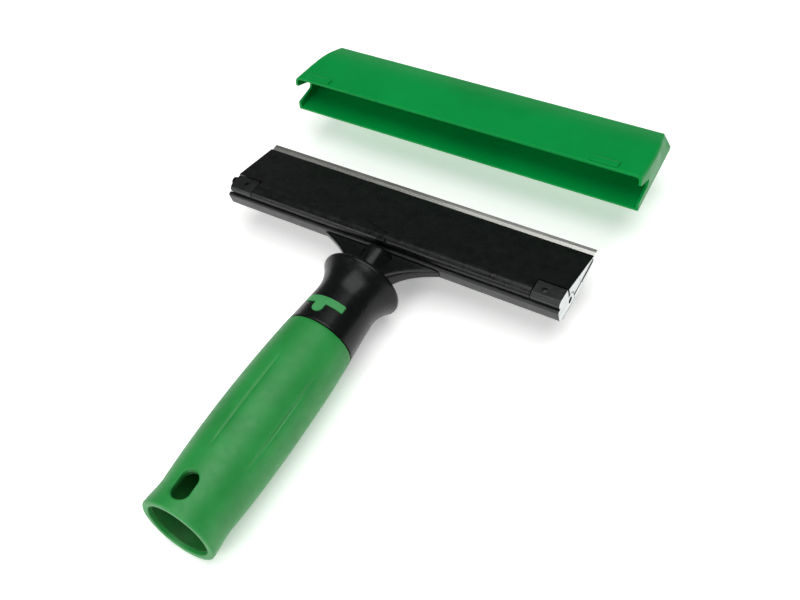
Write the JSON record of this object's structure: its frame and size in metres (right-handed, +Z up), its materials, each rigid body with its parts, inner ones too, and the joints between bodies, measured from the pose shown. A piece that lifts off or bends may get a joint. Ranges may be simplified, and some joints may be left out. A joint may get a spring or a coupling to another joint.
{
  "type": "window scraper",
  "caption": "Wide hand scraper for glass: a clamp head with a straight blade, a hollow socket handle for a pole and a slip-on blade guard lying off ahead of it.",
  "frame": {"origin": "middle of the bounding box's floor, under the head; the handle's axis is 16.4 mm above it", "axes": "+Y along the handle from its open rear rim to the blade and the guard, +X along the head to its right end, +Z up, the side the clamp plate and the release tab are on"},
  "size_m": [0.1616, 0.2266, 0.0347],
  "materials": {
    "soft_green": "soft matt thermoplastic rubber",
    "hard_green": "moulded polypropylene, semi-gloss",
    "black_plastic": "moulded glass-filled nylon, semi-gloss",
    "painted_aluminium": "black powder coat on cast aluminium, bare at the cut ends",
    "black_steel": "blackened steel",
    "blade_steel": "ground spring steel",
    "steel": "zinc-plated steel"
  },
  "bodies": {
    "handle_and_jaw": {"grip_sleeve": "soft_green", "pole_socket": "hard_green", "collar": "black_plastic", "neck": "black_plastic", "neck_screw": "steel", "lower_jaw": "painted_aluminium", "hinge_rod": "black_steel", "head_screw_left": "steel", "head_screw_right": "steel", "clamp_spring_left": "steel", "clamp_spring_right": "steel", "blade_peg_left": "steel", "blade_peg_right": "steel", "release_tab_spring": "steel"},
    "clamp": {"clamp_plate": "painted_aluminium"},
    "blade": {"blade": "blade_steel"},
    "guard": {"blade_guard": "hard_green"},
    "tab": {"release_tab": "hard_green"}
  },
  "joints": [
    {"name": "clamp_hinge", "type": "hinge", "parent": "handle_and_jaw", "child": "clamp", "pos_m": [0.0004, 0.02715, 0.01724], "axis": [1, 0, 0], "range_deg": [0, 3], "stiffness_Nm_per_rad": 0.3, "springref_deg": -8.59, "deforming": ["clamp_spring_left", "clamp_spring_right"]},
    {"name": "blade_draw", "type": "slide", "parent": "handle_and_jaw", "child": "blade", "axis": [0, 0.9925, 0.1219], "range_m": [0, 0.02]},
    {"name": "guard_slip_on", "type": "slide", "parent": "blade", "child": "guard", "axis": [0, -0.9925, -0.1219], "range_m": [0, 0.057]},
    {"name": "release_press", "type": "slide", "parent": "handle_and_jaw", "child": "tab", "axis": [0, 0, -1], "range_m": [0, 0.0012], "stiffness_N_per_m": 200, "springref_m": -0.002, "deforming": ["release_tab_spring"]}
  ]
}
